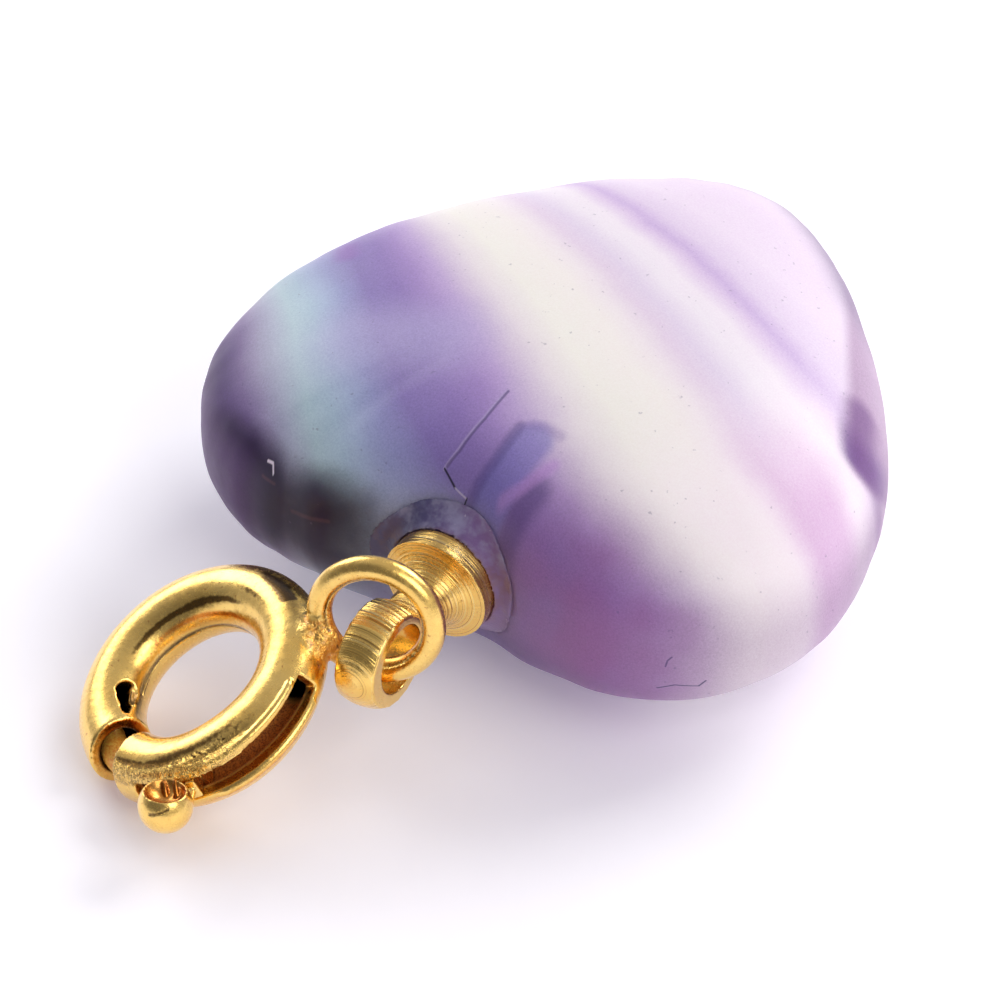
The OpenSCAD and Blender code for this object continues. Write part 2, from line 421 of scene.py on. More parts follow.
class Graph:
    """The node graph of one material."""

    def __init__(self, name: str) -> None:
        """Starts an empty material."""
        self.material = bpy.data.materials.new(name)
        self.material.use_nodes = True
        self.tree = self.material.node_tree
        self.tree.nodes.clear()

    def add(self, kind: str, settings: dict | None = None,
            values: dict | None = None) -> bpy.types.Node:
        """Adds a node.

        Args:
            kind: The node's type.
            settings: Its settings, set first; stops are a ramp's (place, colour) pairs.
            values: Its sockets' values or links, by name or number.

        Returns:
            The node.
        """
        node = self.tree.nodes.new(kind)
        for key, value in (settings or {}).items():
            if key == "stops":
                ramp = node.color_ramp
                while len(ramp.elements) < len(value):
                    ramp.elements.new(1.0)
                for element, (place, colour) in zip(ramp.elements, value):
                    element.position, element.color = place, colour
            else:
                setattr(node, key, value)
        for key, value in (values or {}).items():
            if isinstance(key, str):
                socket = next(s for s in node.inputs if s.name == key and s.enabled)
            else:
                socket = node.inputs[key]
            if isinstance(value, Sock):
                self.tree.links.new(value.out, socket)
            else:
                socket.default_value = value
        return node

    def sock(self, node: bpy.types.Node, name: str | int = 0) -> Sock:
        """Returns a node's output, by name or as the first that is enabled."""
        if isinstance(name, str):
            return Sock(self, next(s for s in node.outputs if s.name == name and s.enabled))
        return Sock(self, [s for s in node.outputs if s.enabled][name])

    def vector(self, operation: str, values: dict) -> Sock:
        """Adds a Vector Math node and returns its result."""
        return self.sock(self.add("ShaderNodeVectorMath", {"operation": operation}, values))

    def place(self) -> Sock:
        """Returns the object's own coordinates, in millimetres."""
        where = self.sock(self.add("ShaderNodeTexCoord"), "Object")
        return self.vector("SCALE", {"Vector": where, "Scale": 1 / MM})

    def attribute(self, name: str) -> Sock:
        """Returns a value that the mesh stores at its points."""
        return self.sock(self.add("ShaderNodeAttribute", {"attribute_name": name}), "Fac")

    def split(self, vector: Sock) -> tuple[Sock, Sock, Sock]:
        """Returns a vector's three parts."""
        node = self.add("ShaderNodeSeparateXYZ", None, {"Vector": vector})
        return tuple(self.sock(node, axis) for axis in "XYZ")

    def noise(self, where: Sock, scale: float, detail: float = 2, rough: float = 0.5,
              out: str = "Fac") -> Sock:
        """Returns soft noise, from 0 to 1, of so many grains to the millimetre."""
        node = self.add("ShaderNodeTexNoise", None, {"Vector": where, "Scale": scale,
                                                     "Detail": detail, "Roughness": rough})
        return self.sock(node, out)

    def mix(self, low: Sock | tuple, high: Sock | tuple, factor: Sock | float,
            blend: str = "MIX") -> Sock:
        """Returns one colour mixed with another."""
        node = self.add("ShaderNodeMix", {"data_type": "RGBA", "blend_type": blend},
                        {"Factor": factor, "A": low, "B": high})
        return self.sock(node, "Result")

    def tint(self, colour: Sock, seen: Triple, factor: Sock | float) -> Sock:
        """Returns a colour with another, as seen, laid over it."""
        return self.mix(colour, linear(*seen), factor)

    def ramp(self, factor: Sock, stops: Sequence[tuple[float, tuple]]) -> Sock:
        """Returns a colour from a ramp."""
        node = self.add("ShaderNodeValToRGB", {"stops": stops}, {"Fac": factor})
        return self.sock(node, "Color")

    def warp(self, where: Sock, scale: float, amount: float) -> Sock:
        """Returns coordinates that soft noise pushes about, by up to half the amount."""
        cloud = self.noise(where, scale, 1.5, out="Color")
        centred = self.vector("SUBTRACT", {0: cloud, 1: (0.5, 0.5, 0.5)})
        return self.vector("MULTIPLY_ADD", {0: centred, 1: (amount,) * 3, 2: where})

    def away(self, where: Sock, axes: tuple[int, int], start: tuple[float, float],
             end: tuple[float, float]) -> Sock:
        """Returns how far places are from a straight line, seen along the third axis.

        Args:
            where: The places, in millimetres.
            axes: Numbers of the two axes that the line is drawn on.
            start: Where the line starts on them.
            end: Where it ends.

        Returns:
            The distance, in millimetres.
        """
        seen, first, last = Vector(), Vector(), Vector()
        for axis, low, high in zip(axes, start, end):
            seen[axis], first[axis], last[axis] = 1, low, high
        length, heading = (last - first).length, (last - first).normalized()
        spot = self.vector("MULTIPLY_ADD", {0: where, 1: seen, 2: -first})
        run = self.vector("DOT_PRODUCT", {0: spot, 1: heading})
        near = run.maths("MAXIMUM", 0.0).maths("MINIMUM", length)
        off = self.vector("MULTIPLY_ADD", {0: near, 1: -heading, 2: spot})
        return self.vector("LENGTH", {0: off})

    def bump(self, height: Sock, strength: float, depth: float,
             onto: Sock | None = None) -> Sock:
        """Returns a normal raised by a height.

        Args:
            height: The height, from 0 to 1.
            strength: How strongly the light follows it.
            depth: What a height of 1 stands for, in millimetres.
            onto: A normal to raise further.

        Returns:
            The normal.
        """
        values = {"Strength": strength, "Distance": depth * MM, "Height": height}
        if onto is not None:
            values["Normal"] = onto
        return self.sock(self.add("ShaderNodeBump", None, values))

    def surface(self, values: dict) -> bpy.types.Material:
        """Ends the graph in one Principled surface and returns the material."""
        shader = self.add("ShaderNodeBsdfPrincipled", {"subsurface_method": "RANDOM_WALK"}, values)
        self.add("ShaderNodeOutputMaterial", None, {"Surface": self.sock(shader)})
        return self.material


# ---------------------------------------------------------------- finishes


@dataclass(frozen=True)
class Mark:
    """A soft mark in the stone, drawn along a path of places seen along one axis.

    Attributes:
        path: Its places, in millimetres on the two axes.
        width: Its half width.
        soft: How far its edge fades.
        colour: Its colour as seen.
        strength: How strongly it covers the stone.
        axes: Numbers of the two axes.
    """

    path: tuple
    width: float
    soft: float
    colour: Triple
    strength: float = 0.8
    axes: tuple[int, int] = (0, 1)

    def drawn(self, g: Graph, colour: Sock, where: Sock, face: Sock) -> Sock:
        """Returns the colour with the mark over it, on one face of the stone."""
        away, *others = (g.away(where, self.axes, start, end)
                         for start, end in zip(self.path, self.path[1:]))
        for other in others:
            away = away.maths("MINIMUM", other)
        ink = away.step(self.width + self.soft, self.width)
        return g.tint(colour, self.colour, ink * face * self.strength)


@dataclass(frozen=True)
class BandedStone:
    """Cloudy banded stone with a soft polish: purple, blue-green and cream in a fan.

    Attributes:
        fan_at: Where the bands' lines meet, seen from above, in millimetres.
        fan_from: The fan's first angle, in degrees.
        fan_to: Its last angle.
        lean: How far the bands turn where the stone slopes down, in degrees.
        marks: The drilled hole, drawn with painted shade and a painted highlight, and the cracks
            seen in the stone.
        bands: Angles and colours of the bands.
    """

    marks: tuple = (
        # The first five marks draw the drilled hole seen through the stone: painted shade on its
        # left side, its end and below it, and a painted highlight on its pink right edge.
        Mark(((1.75, -1.4), (1.5, -2.0)), 0.1, 0.4, (86, 66, 124), 0.6),
        Mark(((1.09, -0.5), (0.95, -1.24), (0.81, -1.7)), 0.3, 0.3, (112, 112, 182), 0.55),
        Mark(((0.66, -0.28), (0.55, -1.07), (0.3, -1.75)), 0.04, 0.18, (84, 70, 132), 0.5),
        Mark(((1.8, -0.78), (1.59, -1.16), (1.37, -1.44), (1.1, -1.65)), 0.03, 0.2,
             (186, 142, 206), 0.5),
        Mark(((0.86, -0.14), (1.17, -0.07), (1.56, -0.13)), 0.02, 0.2, (134, 108, 168), 0.35),
        Mark(((-0.07, 0.43), (-0.17, -0.38), (-0.34, -1.14), (-0.47, -1.47)), 0.012, 0.04,
             (176, 160, 200), 0.7),
        Mark(((-0.04, 0.4), (-0.13, -0.38), (-0.3, -1.14), (-0.43, -1.42)), 0.01, 0.04,
             (84, 66, 118), 0.7),
        Mark(((-0.47, -1.47), (-0.13, -1.61)), 0.006, 0.02, (24, 20, 44), 0.95),
        Mark(((-0.13, -1.61), (0.2, -1.67)), 0.003, 0.012, (210, 200, 220), 0.6),
        Mark(((0.2, -1.67), (0.1, -1.86)), 0.006, 0.02, (30, 26, 50), 0.95),
        Mark(((-4.45, -2.17), (-4.3, -2.2), (-4.25, -2.28)), 0.006, 0.02, (235, 225, 240), 0.9),
        Mark(((6.05, 4.75), (6.4, 4.1), (6.75, 3.8)), 0.08, 0.5, (116, 74, 134), 0.75),
        Mark(((5.16, 2.27), (5.5, 2.4), (5.91, 2.33)), 0.009, 0.016, (60, 50, 96), 0.9, (0, 2)),
        Mark(((5.91, 2.33), (6.05, 2.5)), 0.009, 0.016, (60, 50, 96), 0.9, (0, 2)),
        Mark(((5.38, 2.98), (5.42, 3.15), (5.5, 3.25)), 0.009, 0.016, (80, 60, 110), 0.8,
             (0, 2)),
        Mark(((-3.7, 3.42), (-2.8, 3.56)), 0.01, 0.08, (110, 66, 76), 0.3, (0, 2)),
        Mark(((-4.5, 3.98), (-4.2, 3.93)), 0.01, 0.06, (110, 66, 76), 0.3, (0, 2)),
        Mark(((-6.0, 3.4), (-5.7, 3.0)), 0.05, 0.4, (142, 84, 172), 0.45),
        Mark(((-3.9, 0.4), (-2.2, 1.1)), 0.2, 1.5, (186, 178, 214), 0.5),
    )
    fan_at: tuple[float, float] = (-15.9, 12.65)
    fan_from: float = -60.0
    fan_to: float = -12.0
    lean: float = 3.0
    bands: tuple = (
        (-60.0, (34, 16, 62)), (-56.2, (48, 26, 80)), (-54.8, (84, 58, 118)),
        (-53.4, (126, 104, 154)), (-52.2, (158, 148, 182)), (-50.8, (176, 182, 202)),
        (-49.4, (180, 202, 210)), (-48.0, (170, 194, 208)), (-46.8, (162, 180, 206)),
        (-45.4, (144, 148, 192)), (-43.6, (130, 112, 174)), (-41.2, (140, 116, 178)),
        (-39.4, (160, 134, 190)), (-37.9, (184, 160, 204)), (-36.6, (206, 190, 212)),
        (-35.0, (226, 217, 221)), (-33.0, (235, 231, 224)), (-30.2, (236, 230, 226)),
        (-28.8, (233, 224, 227)), (-27.2, (221, 205, 222)), (-26.0, (219, 206, 224)),
        (-24.4, (231, 223, 231)), (-23.2, (232, 223, 231)), (-22.0, (216, 197, 222)),
        (-21.1, (198, 174, 213)), (-19.9, (217, 201, 223)), (-17.4, (227, 213, 229)),
        (-12.0, (224, 208, 226)),
    )

    def material(self) -> bpy.types.Material:
        """Returns the stone's material."""
        g = Graph("banded_stone")
        place = g.place()
        x, y, z = g.split(place)
        wx, wy, _ = g.split(g.warp(place, 0.22, 0.5))
        across, along = wx - self.fan_at[0], wy - self.fan_at[1]
        raw = along.maths("ARCTAN2", across) * math.degrees(1)
        lean = z.step(6.3, 4.2) * raw.step(-46.5, -41.5) * raw.step(-24.0, -32.0)
        angle = raw - lean * self.lean + (g.noise(place, 0.7, 2) - 0.5) * 1.1
        span = self.fan_to - self.fan_from
        stops = [((a - self.fan_from) / span, linear(*c)) for a, c in self.bands]
        colour = g.ramp((angle - self.fan_from) * (1 / span), stops)
        far = (across * across + along * along).maths("SQRT")
        pale = far.step(21.5, 25.0) * angle.step(-36.0, -32.0)
        colour = g.tint(colour, (243, 230, 238), pale * 0.6)
        pink = far.step(22.0, 25.2) * angle.step(-29.5, -26.8) * angle.step(-22.8, -25.0)
        colour = g.tint(colour, (216, 182, 214), pink * 0.85)
        rosy = far.step(21.3, 25.4) * angle.step(-33.5, -39.5)
        colour = g.tint(colour, (150, 98, 156), rosy * g.noise(place, 0.5, 2).step(0.0, 0.6))
        # Painted light: lifts the lower front-left flank, which slopes away from the lamps, as if
        # light shone through the stone.
        lift = z.step(6.4, 4.8) * raw.step(-50.0, -46.0) * raw.step(-34.0, -38.0)
        colour = g.tint(colour, (196, 184, 224), lift * far.step(21.5, 19.0) * 0.25)
        # Painted shade: deep purple darkness over the stone's lower left flank, towards the front.
        painted_shade_lower_left = y + (x + 3.9).maths("MINIMUM", 0.0) * 0.36
        painted_shade_lower_left = (painted_shade_lower_left + (g.noise(place, 1.0, 2) - 0.5) * 0.15).step(-1.95, -2.45)
        colour = g.tint(colour, (26, 2, 52), painted_shade_lower_left * raw.step(-44.6, -47.0))
        # Painted shade: darkens the stone's left rim, low and towards the front.
        rim = z.step(4.9, 3.7) * x.step(-4.2, -5.4) * y.step(2.0, 0.0)
        colour = g.tint(colour, (80, 36, 106), rim * 0.85)
        # Painted shade: a dark strip along the stone's right rim, with a darker core inside it.
        wedge, side = x * 0.419 + y * 0.7505 + z * 0.51, x * 0.854 + y * 0.52
        edge = side.step(7.2, 7.55) * wedge.step(7.7, 8.0)
        colour = g.tint(colour, (160, 126, 162), edge * 0.75)
        painted_rim_shade_core = side.step(7.0, 7.4) * wedge.step(7.75, 8.0)
        colour = g.tint(colour, (100, 62, 134), painted_rim_shade_core * wedge.step(8.6, 8.1) * 0.8)
        # Painted shade: darkens the stone's right side below its middle, more towards the back.
        side = z.step(4.7, 3.2) * x.step(3.5, 5.5)
        colour = g.tint(colour, (148, 116, 152), side * (y.step(0.0, 3.5) * 0.35 + 0.4))
        # Painted shade: darkens the stone's back rim, below its top.
        painted_top_rim_shade = z.step(5.9, 5.0) * y.step(6.5, 8.5)
        colour = g.tint(colour, (126, 106, 142), painted_top_rim_shade * 0.85)
        # Painted shade: darkens the lowest part of the stone's purple side, near the floor.
        foot = z.step(2.8, 1.6) * angle.step(-36, -44)
        colour = g.tint(colour, (70, 48, 100), foot * 0.5)
        upper, front = z.step(2.2, 3.2), y.step(-1.2, -1.7)
        for mark in self.marks:
            colour = mark.drawn(g, colour, place, upper if mark.axes == (0, 1) else front)
        pits = g.noise(place, 7, 2, 0.5)
        colour = g.tint(colour, (96, 84, 120), pits.step(0.7, 0.76) * 0.35)
        grain = g.noise(place, 22, 2, 0.8)
        colour = g.mix(colour, grain, 0.3, "OVERLAY")
        normal = g.bump(g.noise(place, 9, 4, 0.65), 0.15, 0.012)
        normal = g.bump(g.noise(place, 0.8, 3, 0.5), 0.3, 0.05, normal)
        return g.surface({
            "Base Color": colour, "Roughness": 0.4 + g.noise(place, 3, 3) * 0.14,
            "Normal": normal, "IOR": 1.43, "Subsurface Weight": 0.8,
            "Subsurface Scale": 1.3 * MM, "Subsurface Radius": (1.0, 0.9, 1.0),
            "Coat Weight": 0.12, "Coat Roughness": 0.3,
        })


@dataclass(frozen=True)
class ClearGlue:
    """Cured glue: a thin cloudy film that takes the colours of the stone beneath it, with a
    painted highlight towards its top and a painted reflection of the collar.
    """

    def material(self) -> bpy.types.Material:
        """Returns the glue's material."""
        g = Graph("clear_glue")
        place = g.place()
        x, y, z = g.split(g.warp(place, 1.4, 0.5))
        cloud = g.noise(place, 2.4, 3, 0.6)
        colour = g.mix(linear(84, 82, 124), linear(128, 100, 150), x.step(-0.9, 0.9))
        # Painted highlight: paler cloudy patches towards the glue's top.
        colour = g.tint(colour, (158, 156, 188), cloud.step(0.36, 0.7) * z.step(3.6, 4.4) * 0.7)
        # Painted reflection: brownish patches near the collar, where the gilt is reflected.
        near = y.step(-2.05, -2.35)
        colour = g.tint(colour, (128, 92, 92), cloud.step(0.56, 0.4) * near * 0.5)
        flecks = g.noise(place, 9, 3, 0.7)
        colour = g.tint(colour, (214, 208, 226), flecks.step(0.68, 0.76) * 0.5)
        normal = g.bump(g.noise(place, 4, 3, 0.6), 0.5, 0.05)
        return g.surface({
            "Base Color": colour, "Roughness": 0.28 + cloud * 0.2, "Normal": normal,
            "IOR": 1.43, "Subsurface Weight": 0.7, "Subsurface Scale": 0.5 * MM,
            "Subsurface Radius": (1.0, 0.9, 1.0), "Coat Weight": 0.2, "Coat Roughness": 0.2,
        })


@dataclass(frozen=True)
class GiltMetal:
    """Gold plating: rich yellow, satin, with fine grain and specks; painted shade makes it browner
    in its creases, and painted shade, light and reflections follow its marks.

    Attributes:
        name: Name of the material.
        shine: Roughness of its smoothest places.
        grain: Strength of its fine grain.
        turned: Strength of the rings that a lathe leaves about the bail's axis.
    """

    name: str
    shine: float = 0.2
    grain: float = 0.25
    turned: float = 0.0
    # Diffuse colours for the inside mark: brown by default, partly the unplated inside and partly
    # painted shade.
    lit: tuple = ((140, 76, 28), (210, 132, 60))

    def material(self, lathe: Matrix | None = None) -> bpy.types.Material:
        """Returns the gilt's material.

        Args:
            lathe: The frame that a turned piece was turned in, about its Z axis.

        Returns:
            The material.
        """
        g = Graph(self.name)
        place = g.place()
        inside, seam, solder = (g.attribute(name) for name in ("inside", "seam", "solder"))
        cloud = g.noise(place, 1.1, 3)
        colour = g.mix(linear(255, 220, 132), linear(251, 200, 94), cloud)
        specks = g.noise(place, 11, 2, 0.6)
        grit = g.noise(place, 20, 3, 0.8).step(0.38, 0.6)
        edge = (g.noise(place, 9, 4, 0.8) - 0.5) * 1.5
        # Painted dark reflections: grainy olive-brown streaks where the gilt reflects dark things.
        painted_reflection_streak = (g.attribute("tarnish") * 1.25 + edge).step(0.3, 0.95)
        colour = g.tint(colour, (104, 72, 20), painted_reflection_streak * 0.95)
        # Orange painted shade where the amber mark is set, with a lighter orange of the solder's
        # own.
        amber = (g.attribute("amber") * 0.9).maths("MAXIMUM", solder * 0.35)
        colour = g.tint(colour, (216, 130, 32), (amber * 1.2 + edge * 0.5).step(0.15, 0.95))
        # Painted shade: orange-brown in the creases.
        colour = g.tint(colour, (214, 122, 34), g.attribute("crease").step(0.62, 0.95) * 0.8)
        colour = g.tint(colour, (172, 92, 34), specks.step(0.66, 0.74) * 0.6)
        # Dark lines along the seam mark, which holds the real seam and painted shade and dark
        # reflections, and painted dark grains.
        painted_dark_grains = g.attribute("speckle") * specks.step(0.5, 0.6)
        dark = (seam * 0.85).maths("MAXIMUM", painted_dark_grains)
        colour = g.tint(colour, (96, 62, 20), dark)
        # Where the inside mark is set the gilt turns to the diffuse inside colours, which paint
        # the light and shade there.
        colour = g.mix(colour, g.mix(*(linear(*c) for c in self.lit), grit), inside)
        # Painted shade: near black deep in the bore, in the trigger's hollow and in a patch on the
        # tube by the tail ring.
        colour = g.tint(colour, (26, 14, 6), g.attribute("dark"))
        rough = self.shine + g.noise(place, 5, 4, 0.7).step(0.35, 0.75) * 0.16
        rough = rough + inside * 0.3 + solder * 0.1
        normal = g.bump(g.noise(place, 17, 3, 0.75), self.grain, 0.012)
        normal = g.bump(g.noise(place, 3.1, 2), 0.35, 0.03, normal)
        wrinkle = g.attribute("wrinkle")
        folds = g.noise(g.warp(place, 4, 0.3), 6, 3, 0.6)
        lines = (folds - 0.5).maths("ABSOLUTE").step(0.035, 0.008)
        colour = g.tint(colour, (122, 84, 28), lines * wrinkle * 0.85)
        folds = folds * (wrinkle * 1.3 + solder * 0.9) - lines * wrinkle * 0.25
        normal = g.bump(folds - seam * 0.4, 1.0, 0.12, normal)
        if lathe is not None:
            rings = self.rings(g, place, lathe) * g.attribute("turned")
            # The lathe's rings are painted darker in their grooves and pale on their crests:
            # painted shade and a painted highlight along real turning marks.
            colour = g.tint(colour, (150, 96, 26), rings.step(0.56, 0.68) * 0.75)
            colour = g.tint(colour, (255, 236, 170), rings.step(0.44, 0.36)
                           * g.attribute("turned") * 0.5)
            normal = g.bump(rings, self.turned, 0.03, normal)
        return g.surface({"Base Color": colour, "Metallic": 1.0 - inside * 0.85,
                          "Roughness": rough, "Normal": normal,
                          "Coat Weight": 0.45, "Coat Roughness": 0.16})

    @staticmethod
    def rings(g: Graph, place: Sock, lathe: Matrix) -> Sock:
        """Returns fine uneven rings about the axis that a piece was turned about.

        Args:
            g: The material's graph.
            place: The place, in millimetres.
            lathe: The frame that the piece was turned in.

        Returns:
            Values from 0 to 1.
        """
        origin, axis = tuple(lathe.translation), tuple(lathe.col[2][:3])
        spot = g.vector("SUBTRACT", {0: place, 1: origin})
        along = g.vector("DOT_PRODUCT", {0: spot, 1: axis})
        length = g.vector("LENGTH", {0: spot})
        out = (length * length - along * along).maths("SQRT")
        where = along - out * along.step(7.9, 7.5)
        node = g.add("ShaderNodeTexNoise", {"noise_dimensions": "1D"},
                     {"W": where, "Scale": 11.0, "Detail": 3.0, "Roughness": 0.7})
        return g.sock(node, "Fac")


# ---------------------------------------------------------------- pieces


@dataclass
class HeartStone:
    """The puffed heart, hand ground, with the hole drilled into its cleft."""

    height: float = 13.1
    thickness: float = 6.6
    lobe_fullness: float = 0.195
    shoulder_shift: float = 0.95
    cleft_depth: float = 1.5
    cleft_spread: float = 18.0
    rim_fullness: float = 2.5
    hole_d: float = 1.3
    hole_floor: float = 2.3
    to_width: float = 7.36871
    to_height: float = 1.05423
    raw_middle: float = 0.336941
    ground: tuple = ((-180, 0.19), (-172, 0.07), (-161, -0.11), (-136, -0.23), (-117, -0.06),
                     (-107, -0.03), (-99, 0.08), (-93, 0.13), (-87, 0.19), (-80, 0.27),
                     (-74, 0.22), (-67, 0.21), (-62, 0.14), (-57, 0.07), (-52, 0.05), (-47, -0),
                     (-42, -0.06), (-37, -0.23), (-31, -0.38), (-26, -0.27), (-12, 0), (7, 0),
                     (14, 0.03), (26, -0.16), (31, -0.11), (36, -0.09), (42, -0.08), (47, -0.07),
                     (51, -0.09), (57, -0.11), (61, -0.07), (67, -0.04), (72, 0.01), (86, 0.05),
                     (94, 0.12), (102, 0.14), (113, 0.09), (125, 0.05), (134, 0.02), (151, 0.1),
                     (157, 0.15), (164, 0.22), (170, 0.27), (176, 0.24), (180, 0.19))
    sides: int = 208
    rings: int = 104
    finish: BandedStone = field(default_factory=BandedStone)

    def skin(self, unit: Vector) -> Vector:
        """Moves a point of the unit ball to the heart's skin."""
        level = max(-1.0, min(1.0, unit.z))
        share = max(0.0, 1 - level * level) ** (1 / self.rim_fullness)
        angle = math.atan2(unit.x, -unit.y)
        across, along = math.sin(angle), math.cos(angle)
        x = share * across * (1 + self.lobe_fullness * share * along) * self.to_width
        notch = math.exp(-((math.degrees(angle) / self.cleft_spread) ** 2))
        y = (-share * along * self.height / 2 + share**3 * self.cleft_depth * notch
             - share**2 * self.shoulder_shift * across**2)
        z = math.copysign(abs(level) ** (2 / self.rim_fullness), level) * self.thickness / 2
        return Vector((x, (y - self.raw_middle) * self.to_height, z))

    def hand_cut(self, spot: Vector) -> Vector:
        """Moves a point of the rim in or out, where the stone was ground by hand."""
        around = math.degrees(math.atan2(spot.x, -spot.y))
        out = math.hypot(spot.x, spot.y)
        rim = smoothstep(out, 2.0, 5.5)
        after = next(k for k, (at, _) in enumerate(self.ground[1:], 1) if around <= at)
        (low, start), (high, end) = self.ground[after - 1], self.ground[after]
        amount = start + (end - start) * smoothstep(around, low, high)
        grown = 1 + rim * amount / max(out, 1.0)
        wave = noise.noise(spot * 0.35) * 0.06 * smoothstep(out, 3.5, 5.5)
        reach = 7.62
        return Vector((max(-reach, min(reach, spot.x * grown)), spot.y * grown, spot.z + wave))

    def whole(self) -> bmesh.types.BMesh:
        """Returns the stone before it is drilled, in its own frame."""
        bm = bmesh.new()
        bmesh.ops.create_uvsphere(bm, u_segments=self.sides, v_segments=self.rings, radius=1)
        for vert in bm.verts:
            vert.co = self.hand_cut(self.skin(vert.co))
        bmesh.ops.recalc_face_normals(bm, faces=bm.faces)
        return bm

    def face(self) -> BVHTree:
        """Returns the skin of the undrilled stone, in the bail's frame."""
        bm = self.whole()
        bm.transform(turn("X", -90))
        tree = BVHTree.FromBMesh(bm)
        bm.free()
        return tree

    def build(self, lie: Lie, pocket: bmesh.types.BMesh) -> bpy.types.Object:
        """Builds the stone and returns it.

        Args:
            lie: How the pendant lies.
            pocket: The hollow that the glue fills, in the bail's frame.

        Returns:
            The finished stone.
        """
        bm = self.whole()
        hole = Bench.peg(self.hole_d / 2, self.height / 2,
                         turn("X", 90) @ shift(0, 0, self.hole_floor + self.height / 4))
        pocket.transform(turn("X", 90))
        bm = Bench.cut(bm, [hole, pocket])
        return Bench.finish(bm, "stone_heart", lie.heart(), Body.PENDANT, Slot.STONE,
                            "heart_stone", self.finish.material())


@dataclass
class Glue:
    """The film of glue that swells out between the collar and the stone.

    Attributes:
        reach: Its outer radius about the bail.
        inner: Where it meets the collar.
        foot: Height of its underside in the cleft.
        back: Height of its back, under the collar.
    """

    reach: float = 1.77
    inner: float = 1.25
    foot: float = 5.2
    back: float = 5.94
    sides: int = 120
    rows: int = 12
    finish: ClearGlue = field(default_factory=ClearGlue)

    def shell(self, stone: BVHTree, grow: float = 0.0) -> bmesh.types.BMesh:
        """Returns the film in the bail's frame, lying on the stone.

        Args:
            stone: The stone's skin, in the bail's frame.
            grow: How much larger to make it all round, in millimetres.

        Returns:
            A closed shell.
        """
        bm = bmesh.new()
        loops = []
        above, down = Vector((0, 0, 9)), Vector((0, 0, -1))
        for k in range(self.sides):
            around = math.tau * k / self.sides
            across = Vector((math.cos(around), math.sin(around), 0))
            reach = self.reach - 0.06 * across.x + 0.05 * math.sin(2 * around + 0.6)
            reach += 0.035 * math.sin(3 * around - 1) + 0.02 * math.sin(7 * around) + grow
            top = []
            for i in range(self.rows + 1):
                share = i / self.rows
                out = reach + (self.inner - reach) * share
                spot = across * out
                level = stone.ray_cast(spot + above, down)[0].z
                rim = max(level + 0.08, 6.03 + 0.12 * across.x**2)
                rise = 0.015 + 0.035 * noise.noise(spot * 2.2) * min(i, 4) / 4
                top.append((out, level + rise + (rim - level) * share**2.2 + 12 * grow))
            edge = top[0][1] - 12 * grow
            back = self.back + 20 * grow
            spots = [(0.55, self.foot - grow), (1.2 + grow, self.foot - grow),
                     (reach - 0.15, edge - 0.3 - grow), *top, (1.24, back), (0.55, back)]
            loops.append([bm.verts.new(across * r + Vector((0, 0, a))) for r, a in spots])
        for here, there in zip(loops, loops[1:] + loops[:1]):
            for n in range(len(here)):
                bm.faces.new((here[n - 1], here[n], there[n], there[n - 1]))
        bmesh.ops.recalc_face_normals(bm, faces=bm.faces)
        return bm

    def build(self, lie: Lie, stone: BVHTree) -> bpy.types.Object:
        """Builds the glue and returns it."""
        bm = Bench.fused(self.shell(stone), 0.036, 2)
        return Bench.finish(bm, "glue", lie.bail(), Body.PENDANT, Slot.GLUE, "glue_bead",
                            self.finish.material())


